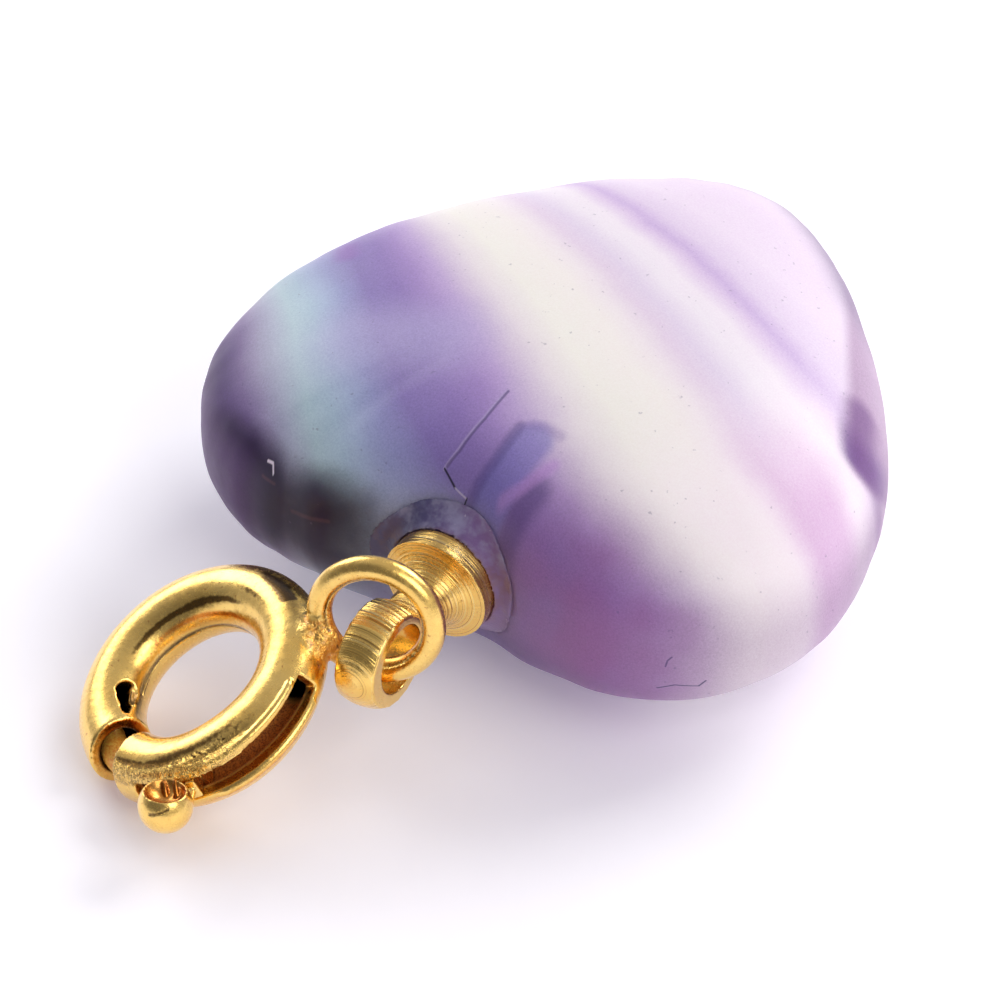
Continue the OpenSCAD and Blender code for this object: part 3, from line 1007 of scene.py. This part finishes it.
@dataclass
class Bail:
    """The turned bail: a collar with a swept face, a waist, and a ball with two flats."""

    collar_at: float = 5.96
    collar_d: float = 2.46
    collar_rim: float = 0.52
    peg_d: float = 1.0
    peg_l: float = 1.7
    waist_d: float = 1.15
    eye_at: float = 8.76
    eye_d: float = 2.32
    eye_w: float = 0.82
    eye_hole_d: float = 1.56
    eye_hole_shift: float = 0.1
    left_shift: float = 0.03
    right_shift: float = 0.13
    finish: GiltMetal = field(default_factory=lambda: GiltMetal("turned_gilt", 0.17, 0.15, 0.8))

    def outline(self) -> list[tuple[float, float]]:
        """Returns the half outline from the peg's end to the ball's end."""
        rim_front = self.collar_at + self.collar_rim
        sweep = (self.collar_d - self.waist_d) / 2
        points = [(0, self.collar_at - self.peg_l), (self.peg_d / 2, self.collar_at - self.peg_l),
                  (self.peg_d / 2, self.collar_at), (self.collar_d / 2 - 0.05, self.collar_at),
                  (self.collar_d / 2, self.collar_at + 0.05),
                  (self.collar_d / 2, rim_front - 0.04)]
        steps = 44
        for i in range(steps + 1):
            a = math.pi / 2 * i / steps
            groove = 0.012 * math.sin(i * 2.1) + 0.01 * math.sin(i * 4.7 + 1)
            r = self.collar_d / 2 - sweep * math.sin(a) + groove * math.cos(a)
            points.append((max(r, self.waist_d / 2), rim_front + sweep * (1 - math.cos(a))
                           + groove * math.sin(a)))
        ball_r = self.eye_d / 2
        neck = math.asin(self.waist_d / 2 / ball_r)
        rounds = 56
        for i in range(rounds + 1):
            a = neck + (math.pi - neck) * i / rounds
            groove = 0.009 * math.sin(i * 1.9) + 0.008 * math.sin(i * 5.3)
            r = (ball_r + (groove if 4 < i < rounds - 4 else 0)) * math.sin(a)
            points.append((max(r, 0.0), self.eye_at - ball_r * math.cos(a)))
        points[-1] = (0.0, self.eye_at + ball_r)
        return points

    def build(self, lie: Lie) -> bpy.types.Object:
        """Builds the bail and returns it."""
        turned = Bench.lathe(self.outline(), 160)
        side = self.eye_w / 2 + 1.0
        foot = self.eye_at - self.eye_d / 2 - 0.02
        flats = [Bench.block((2.0, 4.0, 3.0), shift(sign * side + move, 0, foot + 1.5))
                 for sign, move in ((-1, self.left_shift), (1, self.right_shift))]
        middle = shift(0, 0, self.eye_at - self.eye_hole_shift)
        hole = Bench.peg(self.eye_hole_d / 2, 3, middle @ turn("Y", 90), sides=96)
        bm = Bench.cut(turned, [*flats, hole])
        bm = Bench.fused(bm, 0.025, 1)
        x, y, along = Bench.places(bm).T
        from_hole = np.hypot(y, along - self.eye_at + self.eye_hole_shift)
        near_hole = from_hole < self.eye_hole_d / 2 + 0.04
        on_ball = (x > self.left_shift - self.eye_w / 2 + 0.03) & (
            x < self.right_shift + self.eye_w / 2 - 0.03)
        round_face = on_ball & ~near_hole | (along < self.eye_at - 1)
        return Bench.finish(bm, "bail", lie.bail(), Body.PENDANT, Slot.GILT, "peg_bail",
                            self.finish.material(lie.bail()), {"turned": round_face}, 4e-6)


@dataclass
class Clasp:
    """The clasp's tube with its slot, and the tail ring soldered to it.

    Attributes:
        skew: How far the mouth's ends are turned at the tube's middle, in degrees.
        painted_dark_reflections: Painted dark reflections, as grainy streaks: place round the
            tube, spread, place round the clasp, reach and strength.
        painted_orange_shades: Orange painted shade, in the same way.
        dabs: Radius and place of each dab of solder, from the tube's middle.
    """

    ring_r: float = 2.2
    tube_r: float = 0.72
    bore_r: float = 0.46
    mouth_from: float = 179.5
    mouth_to: float = 201.5
    slot_from: float = 220.0
    slot_to: float = 318.0
    slot_w: float = 0.5
    slot_lift: float = 0.195
    swell: float = 0.14
    swell_at: float = 270.0
    seam_hole_at: float = 153.5
    seam_hole_up: float = 145.0
    drop_r: float = 0.25
    drop_l: float = 0.62
    skew: float = 3.0
    painted_dark_reflections: tuple = ((130, 6, 90, 36, 1.0), (124, 6, 48, 24, 0.9), (98, 7, 20, 18, 0.6),
                      (69, 8, 223, 24, 0.85), (79, 7, 258, 26, 0.75), (57, 15, 4, 24, 1.3),
                      (158, 9, 157, 7, 1.2))
    painted_orange_shades: tuple = ((150, 6, 58, 50, 0.9), (152, 8, 128, 26, 0.5), (52, 7, 236, 18, 0.5),
                     (341, 12, 282, 36, 0.6))
    dabs: tuple = ((0.37, (0.68, 0.0, 0.0)), (0.26, (0.56, 0.24, 0.2)),
                   (0.27, (0.54, -0.3, 0.06)), (0.24, (0.5, 0.02, 0.3)),
                   (0.22, (0.72, 0.1, -0.18)), (0.2, (0.5, -0.44, -0.02)))
    tail_r: float = 1.24
    tail_wire_r: float = 0.27
    finish: GiltMetal = field(default_factory=lambda: GiltMetal("ring_gilt"))

    def swollen(self, bm: bmesh.types.BMesh) -> bmesh.types.BMesh:
        """Swells a shell about the tube's middle, most where the slot was rolled open."""
        for vert in bm.verts:
            around, out = outward(vert.co)
            fat = 1 + self.swell * bump_at(around, self.swell_at, 42)
            middle = out * self.ring_r
            vert.co = middle + (vert.co - middle) * fat
        return bm

    def tube(self) -> bmesh.types.BMesh:
        """Returns the tube with its bore, slot and seam opening cut."""
        sweep = 360 + self.mouth_from - self.mouth_to
        body = Bench.rod(self.ring_r, self.tube_r, self.mouth_to, sweep, 200, 64)
        for vert in body.verts:
            around, _ = outward(vert.co)
            out = math.hypot(vert.co.x, vert.co.y) - self.ring_r
            near = smoothstep(abs(around - (self.mouth_from + self.mouth_to) / 2), 36, 12)
            more = 3.0 if around < (self.mouth_from + self.mouth_to) / 2 else 1.0
            more += self.skew * (1 + out / self.tube_r) - 2.2 * vert.co.z / self.tube_r
            vert.co = turn("Z", near * more) @ vert.co
        body = self.swollen(body)
        bore = Bench.rod(self.ring_r, self.bore_r, self.mouth_to - 12, sweep + 24, 160, 40)
        low, high = (self.slot_lift + side * self.slot_w / 2 for side in (-1, 1))
        far = self.ring_r + 3 * self.tube_r
        slot = Bench.sector([(self.ring_r, low), (far, low), (far, high), (self.ring_r, high)],
                            self.slot_from, self.slot_to - self.slot_from)
        drop = bmesh.new()
        outline = [(self.drop_r * math.cos(t), self.drop_r * math.sin(t)) for t in
                   [math.radians(180 + 15 * k) for k in range(13)]]
        outline += [(0.05, self.drop_l), (-0.05, self.drop_l)]
        face = drop.faces.new([drop.verts.new((x, y, 0)) for x, y in outline])
        grown = bmesh.ops.extrude_face_region(drop, geom=[face])
        moved = [v for v in grown["geom"] if isinstance(v, bmesh.types.BMVert)]
        bmesh.ops.translate(drop, verts=moved, vec=(0, 0, self.tube_r))
        bmesh.ops.recalc_face_normals(drop, faces=drop.faces)
        drop.transform(turn("Z", self.seam_hole_at) @ shift(self.ring_r)
                       @ turn("Y", 90 - self.seam_hole_up) @ shift(0, 0, self.tube_r / 2))
        return Bench.cut(body, [bore, slot, drop])

    def flap(self) -> bmesh.types.BMesh:
        """Returns the folded edge of the seam, that stands in the seam's opening."""
        place = turn("Z", self.seam_hole_at + 2) @ shift(self.ring_r) @ turn("Y", -68)
        return Bench.block((0.14, 0.44, 0.22), place @ shift(0, 0, 0.57))

    def lip(self, up: float, thick: float, start: float, end: float) -> bmesh.types.BMesh:
        """Returns one rolled lip of the slot.

        Args:
            up: Its place round the tube, where 0 looks outwards, in degrees.
            thick: Radius of the lip.
            start: Where it starts, in degrees round the clasp.
            end: Where it ends.

        Returns:
            A closed rod that fades at both ends.
        """
        up = math.radians(up)
        big, lift = self.ring_r + (self.tube_r - 0.04) * math.cos(up), self.tube_r * math.sin(up)
        bm = Bench.rod(big, thick, start, end - start, 90, 16, lift)
        for vert in bm.verts:
            around, out = outward(vert.co)
            full = smoothstep(around, start, start + 14) * smoothstep(around, end, end - 6)
            middle = out * big + Vector((0, 0, lift))
            vert.co = middle + (vert.co - middle) * (0.3 + 0.7 * full) - out * 0.1 * (1 - full)
        return self.swollen(bm)

    def tail_ring(self, lie: Lie) -> bmesh.types.BMesh:
        """Returns the tail ring, slightly flattened, in the clasp's frame."""
        ring = Bench.rod(self.tail_r, self.tail_wire_r, 0, 360, 144, 36)
        ring.transform(lie.tail())
        return ring

    def solder(self, lie: Lie) -> list[bmesh.types.BMesh]:
        """Returns the dabs of solder between the tube and the tail ring."""
        foot = turn("Z", lie.tail_at) @ shift(self.ring_r)
        return [Bench.ball(r, foot @ shift(*place)) for r, place in self.dabs]

    def marks(self, bm: bmesh.types.BMesh, lie: Lie) -> dict[str, np.ndarray]:
        """Finds where the tube is seamed, wrinkled or soldered, and where shade and dark
        reflections are painted on it, as in its dark inside.

        Args:
            bm: The whole ring, in the clasp's frame.
            lie: How the pendant lies.

        Returns:
            Values from 0 to 1 for each point, by the name of the mark.
        """
        spots = Bench.places(bm)
        x, y, z = spots.T
        out = np.hypot(x, y) - self.ring_r
        around = np.degrees(np.arctan2(y, x)) % 360
        section = np.degrees(np.arctan2(z, out)) % 360
        deep = np.hypot(out, z)
        on_tube = deep < 0.95
        seam = np.exp(-(((section - 178 + 0.03 * around) / 3.0) ** 2)) * on_tube
        seam *= (around > 4) & (around < 149)
        # Painted shade: a dark line in the crease above the slot's rolled lip.
        rolled = np.exp(-(((section - 59) / 4.0) ** 2) - ((around - 268) / 16) ** 4) * on_tube
        wrinkled = np.exp(-(((section - 50) / 16) ** 4) - ((around - 234) / 33) ** 4)
        # Where the painted dark grains lie, above the slot's upper lip.
        speckled = np.exp(-(((section - 66) / 8) ** 2) - ((around - 262) / 24) ** 4)
        # Painted dark reflections and orange painted shade, summed from the two tables.
        tarnish, amber = (sum(
            power * np.exp(-(((section - up) / wide) ** 2) - ((around - at) / length) ** 4)
            for up, wide, at, length, power in table) for table in (self.painted_dark_reflections, self.painted_orange_shades))
        # The bore's inside is painted: near black where no light reaches it, brown where it is
        # seen lit through the slot; the mouth's ends get orange painted shade.
        bore = np.clip((0.56 - deep) / 0.06, 0, 1)
        lit = np.clip((around - 216) / 4, 0, 1) * np.clip((319 - around) / 6, 0, 1)
        ends = (deep < 0.69) * (deep > 0.49) * (around > 170) * (around < 214)
        ends = ends * (0.25 + 0.75 * np.clip((section - 60) / 50, 0, 1) * (section < 250))
        past_tail = (around + 176) % 360 - 180
        shade = 0.62 * np.exp(-(((section - 52) / 13) ** 2) - (past_tail / 20) ** 4)
        dab = np.array((turn("Z", lie.tail_at) @ shift(self.ring_r + 0.66)).translation)
        away = np.linalg.norm(spots - dab, axis=1)
        tail = np.array(lie.tail().inverted())
        local = spots @ tail[:3, :3].T + tail[:3, 3]
        wire = np.hypot(local[:, 0], local[:, 1]) - self.tail_r
        on_hoop = np.hypot(wire, local[:, 2]) < 0.34
        # On the tail ring: a painted dark reflection along a line round its inner third, and
        # orange painted shade on its inner side.
        inward = np.degrees(np.arctan2(abs(local[:, 2]), -wire))
        fold = np.exp(-(((inward - 48) / 6) ** 2)) * on_hoop
        hoop = np.clip((44 - inward) / 20, 0, 1) * on_hoop
        return {
            "inside": bore * lit, "dark": np.maximum(bore * (1 - lit), shade * on_tube),
            "tarnish": np.clip(tarnish, 0, 1) * on_tube,
            "amber": np.maximum(np.clip(amber, 0, 1) * on_tube, np.maximum(ends, hoop * 0.6)),
            "seam": np.clip(seam + rolled * 0.7 + fold * 0.75, 0, 1),
            "wrinkle": np.clip(wrinkled, 0, 1) * on_tube, "speckle": speckled * on_tube,
            "solder": np.clip((0.68 - away) / 0.16, 0, 1) * (deep > 0.66),
        }

    def build(self, lie: Lie) -> bpy.types.Object:
        """Builds the clasp's ring and returns it."""
        shells = [self.tube(), self.flap(), self.lip(43, 0.1, 248, 317),
                  self.lip(-13, 0.1, 246, 318), self.tail_ring(lie), *self.solder(lie)]
        bm = Bench.fused(Bench.joined(shells), 0.041, 1)
        marks = self.marks(bm, lie)
        return Bench.finish(bm, "clasp_tube", lie.clasp(), Body.PENDANT, Slot.GILT,
                            "clasp_ring", self.finish.material(), marks, 5e-6)


@dataclass
class Bolt:
    """The clasp's bolt: a curved rod with a thin tip, a shoulder and a cupped trigger.

    Attributes:
        tip: Where the rod ends beyond the mouth, in degrees round the clasp.
        end: Its other end, in the tube.
        thin: How thick it is where it crosses the mouth, as a share of the rest.
        thin_off: How far it is bent outwards there.
        thick_from: Where it thickens, in degrees round the clasp.
        bead: Place of the trigger's bead, from the tube's middle.
        cup: Place of the hollow in it, from the bead's middle.
        clear_r: How far from the tube's middle the bead keeps.
        folds: Radius, length, place along the clasp and tip radius of the trigger's stems.
    """

    ring_r: float = 2.2
    bolt_r: float = 0.4
    tip: float = 177.0
    end: float = 251.5
    shoulder_at: float = 247.0
    thin: float = 0.82
    thin_off: float = 0.12
    thick_from: tuple[float, float] = (203.0, 214.0)
    slot_lift: float = 0.195
    trigger_at: float = 240.0
    trigger_r: float = 0.59
    bead: Triple = (1.285, 0.082, 0.591)
    cup_r: float = 0.5
    cup: Triple = (-0.227, 0.24, 0.5)
    clear_r: float = 0.93
    folds: tuple = ((0.19, 0.95, 0.08, 0.15), (0.1, 0.9, -0.24, 0.1), (0.1, 0.9, 0.38, 0.1))
    # The bolt's inside colours are bright: painted light on the bolt where it lies in the mouth's
    # shade.
    finish: GiltMetal = field(default_factory=lambda: GiltMetal(
        "bolt_gilt", 0.2, 0.3, lit=((236, 132, 20), (255, 200, 84))))

    def rod(self) -> bmesh.types.BMesh:
        """Returns the rod, thinner and lower where it crosses the mouth."""
        bm = Bench.rod(self.ring_r, self.bolt_r, self.tip - 6, self.end - self.tip + 6, 80, 32)
        for vert in bm.verts:
            around, out = outward(vert.co)
            full = smoothstep(around, *self.thick_from)
            spot = vert.co - out * self.ring_r
            lean = out * self.thin_off * (1 - full)
            vert.co = out * self.ring_r + lean + spot * (self.thin + (1 - self.thin) * full)
        return bm

    def bead_at(self) -> Matrix:
        """Returns the place of the trigger's bead."""
        return turn("Z", self.trigger_at) @ shift(self.ring_r) @ shift(*self.bead)

    def cup_at(self) -> Matrix:
        """Returns the middle of the bead's hollow."""
        return self.bead_at() @ shift(*self.cup)

    def trigger(self) -> bmesh.types.BMesh:
        """Returns the bead, hollow at its top, and clear of the tube that it slides on."""
        bead = Bench.ball(self.trigger_r, self.bead_at(), rounds=5)
        tube = Bench.rod(self.ring_r, self.clear_r, self.trigger_at - 30, 60, 60, 64)
        return Bench.cut(bead, [Bench.ball(self.cup_r, self.cup_at(), rounds=5), tube])

    def build(self, lie: Lie) -> bpy.types.Object:
        """Builds the bolt and returns it."""
        out = turn("Z", self.trigger_at) @ shift(self.ring_r, 0, self.slot_lift)
        stalk = [Bench.peg(r, long, out @ shift(0.2 + long / 2, off) @ turn("Y", 90), tip, 24)
                 for r, long, off, tip in self.folds]
        stalk += [Bench.ball(0.065, self.bead_at() @ shift(-0.27, off, 0.08) @ turn("Y", -55),
                             (1, 1, 4)) for off in (0.0, 0.26)]
        low, high, far = self.slot_lift - 0.22, self.slot_lift + 0.22, self.ring_r + 0.7
        shoulder = Bench.sector([(self.ring_r, low), (far + 0.08, low), (far, high),
                                 (self.ring_r, high)], self.shoulder_at - 0.5, 4.2, 8)
        bm = Bench.fused(Bench.joined([self.rod(), self.trigger(), shoulder, *stalk]), 0.024, 2)
        spots = Bench.places(bm)
        x, y, z = spots.T
        deep = np.hypot(np.hypot(x, y) - self.ring_r, z)
        around = np.degrees(np.arctan2(y, x)) % 360
        hollow = np.linalg.norm(spots - np.array(self.cup_at().translation), axis=1)
        hollow = np.clip((self.cup_r + 0.03 - hollow) / 0.05, 0, 1)
        shade = np.clip((0.9 - deep) / 0.2, 0, 1) * (around > 215) * (around < 246)
        section = np.degrees(np.arctan2(z, np.hypot(x, y) - self.ring_r))
        mouth = np.clip((206 - around) / 6, 0, 1) * (deep < 0.6)
        top = mouth * np.clip((section - 70) / 40, 0, 1)
        bead = np.array(self.bead_at().inverted())
        spots = spots @ bead[:3, :3].T + bead[:3, 3]
        across, along = spots @ (-0.143, 0.866, -0.48), spots @ (-0.805, 0.18, 0.565)
        line = np.hypot(np.clip(np.abs(across + 0.12) - 0.19, 0, 1),
                        along + 0.15 - 0.3 * (across + 0.12) - 0.8 * (across + 0.12) ** 2)
        crease = np.clip((0.035 - line) / 0.02, 0, 1) * (spots @ (0.575, 0.467, 0.671) > 0.2)
        # Painted shade: darker and orange in the trigger's hollow, orange on the bolt in the slot
        # and over its top in the mouth; the bolt in the mouth gets the bright inside colours as
        # painted light.
        marks = {"inside": np.maximum(shade * 0.4, mouth * 0.9), "seam": crease,
                 "dark": hollow * (0.1 + 0.3 * np.clip(along / 0.4, 0, 1)),
                 "amber": np.maximum(hollow, np.maximum(shade, top))}
        return Bench.finish(bm, "clasp_trigger_bolt", lie.clasp(), Body.BOLT, Slot.GILT,
                            "clasp_bolt", self.finish.material(), marks, 4e-6)


# ---------------------------------------------------------------- studio


@dataclass
class Studio:
    """The pale floor, the soft lights and the camera."""

    azimuth: float = 31.3
    elevation: float = 39.7
    distance: float = 260.0
    lens: float = 437.1
    middle: Triple = (0.0, 3.84, 3.4)
    aim: tuple[float, float] = (-2.03, -1.94)
    dark_side: Triple = (-0.243, -0.908, 0.342)
    room_light: float = 0.53
    room_dim: float = 0.18
    floor_glow: float = 0.2
    softboxes: tuple = (("back_softbox", 160, 40, 160, 90, 0.135, (1.0, 0.99, 0.97)),
                        ("left_softbox", -112, 28, 150, 90, 0.075),
                        ("right_softbox", 68, 42, 150, 90, 0.075))

    def axes(self) -> tuple[Vector, Vector, Vector]:
        """Returns the picture's right, up and towards the camera."""
        a, e = math.radians(self.azimuth), math.radians(self.elevation)
        right = Vector((math.cos(a), math.sin(a), 0))
        ahead = Vector((-math.sin(a), math.cos(a), 0))
        up = ahead * math.sin(e) + Vector((0, 0, math.cos(e)))
        back = -ahead * math.cos(e) + Vector((0, 0, math.sin(e)))
        return right, up, back

    def camera(self) -> None:
        """Sets the camera at the photograph's angle."""
        right, up, back = self.axes()
        middle = Vector(self.middle)
        eye = middle + back * self.distance
        target = middle + right * self.aim[0] + up * self.aim[1]
        data = bpy.data.cameras.new("camera")
        data.lens, data.sensor_width = self.lens, 36.0
        data.clip_start, data.clip_end = 0.01, 10.0
        camera = bpy.data.objects.new("camera", data)
        bpy.context.scene.collection.objects.link(camera)
        look = (eye - target).normalized()
        side = up.cross(look).normalized()
        top = look.cross(side)
        basis = Matrix((side, top, look)).transposed().to_4x4()
        camera.matrix_world = Matrix.Translation(eye * MM) @ basis
        bpy.context.scene.camera = camera

    def lamp(self, name: str, azimuth: float, elevation: float, away: float, size: float,
             power: float, colour: Triple = (1, 1, 1)) -> None:
        """Hangs one softbox that faces the pendant.

        Args:
            name: Name of the lamp.
            azimuth: Direction from the pendant, in degrees from -Y towards +X.
            elevation: Height above the floor, in degrees.
            away: Distance, in millimetres.
            size: Width, in millimetres.
            power: Power, in watts.
            colour: Colour of the light.
        """
        a, e = math.radians(azimuth), math.radians(elevation)
        back = Vector((math.sin(a) * math.cos(e), -math.cos(a) * math.cos(e), math.sin(e)))
        data = bpy.data.lights.new(name, "AREA")
        data.energy, data.size, data.color = power, size * MM, colour
        lamp = bpy.data.objects.new(name, data)
        lamp.location = back * away * MM
        lamp.rotation_mode = "QUATERNION"
        lamp.rotation_quaternion = back.to_track_quat("Z", "Y")
        bpy.context.scene.collection.objects.link(lamp)

    def floor(self) -> None:
        """Lays the pale floor."""
        bm = bmesh.new()
        bmesh.ops.create_grid(bm, x_segments=1, y_segments=1, size=400 * MM)
        sheet = Bench.blank(bm, "floor")
        g = Graph("pale_floor")
        grain = g.noise(g.place(), 2.0, 4)
        colour = g.mix(linear(244, 243, 246), linear(250, 249, 252), grain)
        glow = {"Emission Color": linear(238, 232, 248), "Emission Strength": self.floor_glow}
        sheet.data.materials.append(g.surface({"Base Color": colour, "Roughness": 0.6, **glow}))

    def world(self) -> None:
        """Fills the room with soft white light."""
        room = bpy.data.worlds.new("room")
        room.use_nodes = True
        nodes, links = room.node_tree.nodes, room.node_tree.links
        where = nodes.new("ShaderNodeTexCoord")
        ahead = nodes.new("ShaderNodeVectorMath")
        ahead.operation = "DOT_PRODUCT"
        ahead.inputs[1].default_value = self.dark_side
        fade = nodes.new("ShaderNodeMapRange")
        fade.interpolation_type = "SMOOTHSTEP"
        for name, value in (("From Min", 0.3), ("From Max", 0.95), ("To Min", self.room_light),
                            ("To Max", self.room_dim)):
            fade.inputs[name].default_value = value
        links.new(where.outputs["Generated"], ahead.inputs[0])
        links.new(ahead.outputs["Value"], fade.inputs["Value"])
        links.new(fade.outputs["Result"], nodes["Background"].inputs["Strength"])
        nodes["Background"].inputs["Color"].default_value = linear(250, 247, 255)
        bpy.context.scene.world = room

    def build(self) -> None:
        """Sets up the whole studio."""
        self.camera()
        self.floor()
        self.world()
        for name, *values in self.softboxes:
            self.lamp(name, *values)
        view = bpy.context.scene.view_settings
        view.view_transform, view.look = "Standard", "None"
        bpy.context.scene.cycles.use_denoising = True


def main() -> None:
    """Builds the pendant's pieces in order, then the studio."""
    logging.basicConfig(level=logging.INFO, format="%(name)s: %(message)s")
    lie = Lie()
    Studio().build()
    stone, glue = HeartStone(), Glue()
    face = stone.face()
    stone.build(lie, glue.shell(face, 0.02))
    glue.build(lie, face)
    for piece in (Bail(), Clasp(), Bolt()):
        piece.build(lie)


if __name__ == "__main__":
    main()
